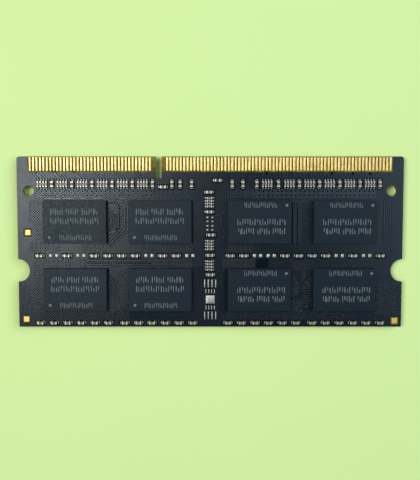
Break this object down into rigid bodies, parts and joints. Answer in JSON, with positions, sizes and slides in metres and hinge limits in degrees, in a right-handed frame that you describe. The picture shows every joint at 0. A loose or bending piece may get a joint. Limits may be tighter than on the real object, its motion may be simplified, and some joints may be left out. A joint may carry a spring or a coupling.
{
  "type": "ram module",
  "caption": "Small-outline double-sided memory board with gold edge contacts, a key notch, latch notches and ball-mounted memory packages.",
  "frame": {"origin": "below the middle of the board outline, level with the outer faces of the back memory packages, on which the module lies", "axes": "+X along the contact edge, with the key notch at negative X; +Y in the board's plane towards the contact edge; +Z out of the front face"},
  "size_m": [0.0676, 0.03, 0.0032],
  "materials": {
    "laminate": "bare glass-fibre board",
    "copper": "matt copper foil",
    "solder_mask": "semi-gloss blue-black lacquer",
    "gold": "gold plating",
    "solder": "reflowed tin solder",
    "mould_compound": "fine-grained epoxy",
    "package_substrate": "lacquered laminate",
    "silicon": "ground silicon",
    "capacitor_ceramic": "fired ceramic",
    "resistor_glaze": "glass glaze",
    "tin_plating": "plated tin"
  },
  "bodies": {
    "root": {"core_laminate": "laminate", "prepreg_front": "laminate", "prepreg_back": "laminate", "ground_plane": "copper", "power_plane": "copper", "solder_mask_front": "solder_mask", "solder_mask_back": "solder_mask", "contacts_front_short": "gold", "contacts_front_long": "gold", "contacts_back_short": "gold", "contacts_back_long": "gold", "gold_squares_front": "gold", "gold_squares_back": "gold", "solder_lands_front": "solder", "solder_lands_back": "solder", "dram_front_1": "mould_compound", "dram_front_2": "mould_compound", "dram_front_3": "mould_compound", "dram_front_4": "mould_compound", "dram_front_5": "mould_compound", "dram_front_6": "mould_compound", "dram_front_7": "mould_compound", "dram_front_8": "mould_compound", "dram_back_1": "mould_compound", "dram_back_2": "mould_compound", "dram_back_3": "mould_compound", "dram_back_4": "mould_compound", "dram_back_5": "mould_compound", "dram_back_6": "mould_compound", "dram_back_7": "mould_compound", "dram_back_8": "mould_compound", "dram_substrates_front": "package_substrate", "dram_substrates_back": "package_substrate", "dram_dies_front": "silicon", "dram_dies_back": "silicon", "solder_balls_front": "solder", "solder_balls_back": "solder", "capacitor_bodies_front": "capacitor_ceramic", "capacitor_bodies_back": "capacitor_ceramic", "capacitor_ends_front": "tin_plating", "capacitor_ends_back": "tin_plating", "resistor_bodies_front": "resistor_glaze", "resistor_bodies_back": "resistor_glaze", "resistor_ends_front": "tin_plating", "resistor_ends_back": "tin_plating", "array_bodies_front": "resistor_glaze", "array_bodies_back": "resistor_glaze", "array_terminals_front": "tin_plating", "array_terminals_back": "tin_plating", "solder_fillets_front": "solder", "solder_fillets_back": "solder", "spd_body": "mould_compound", "spd_terminals": "tin_plating"}
  },
  "joints": []
}
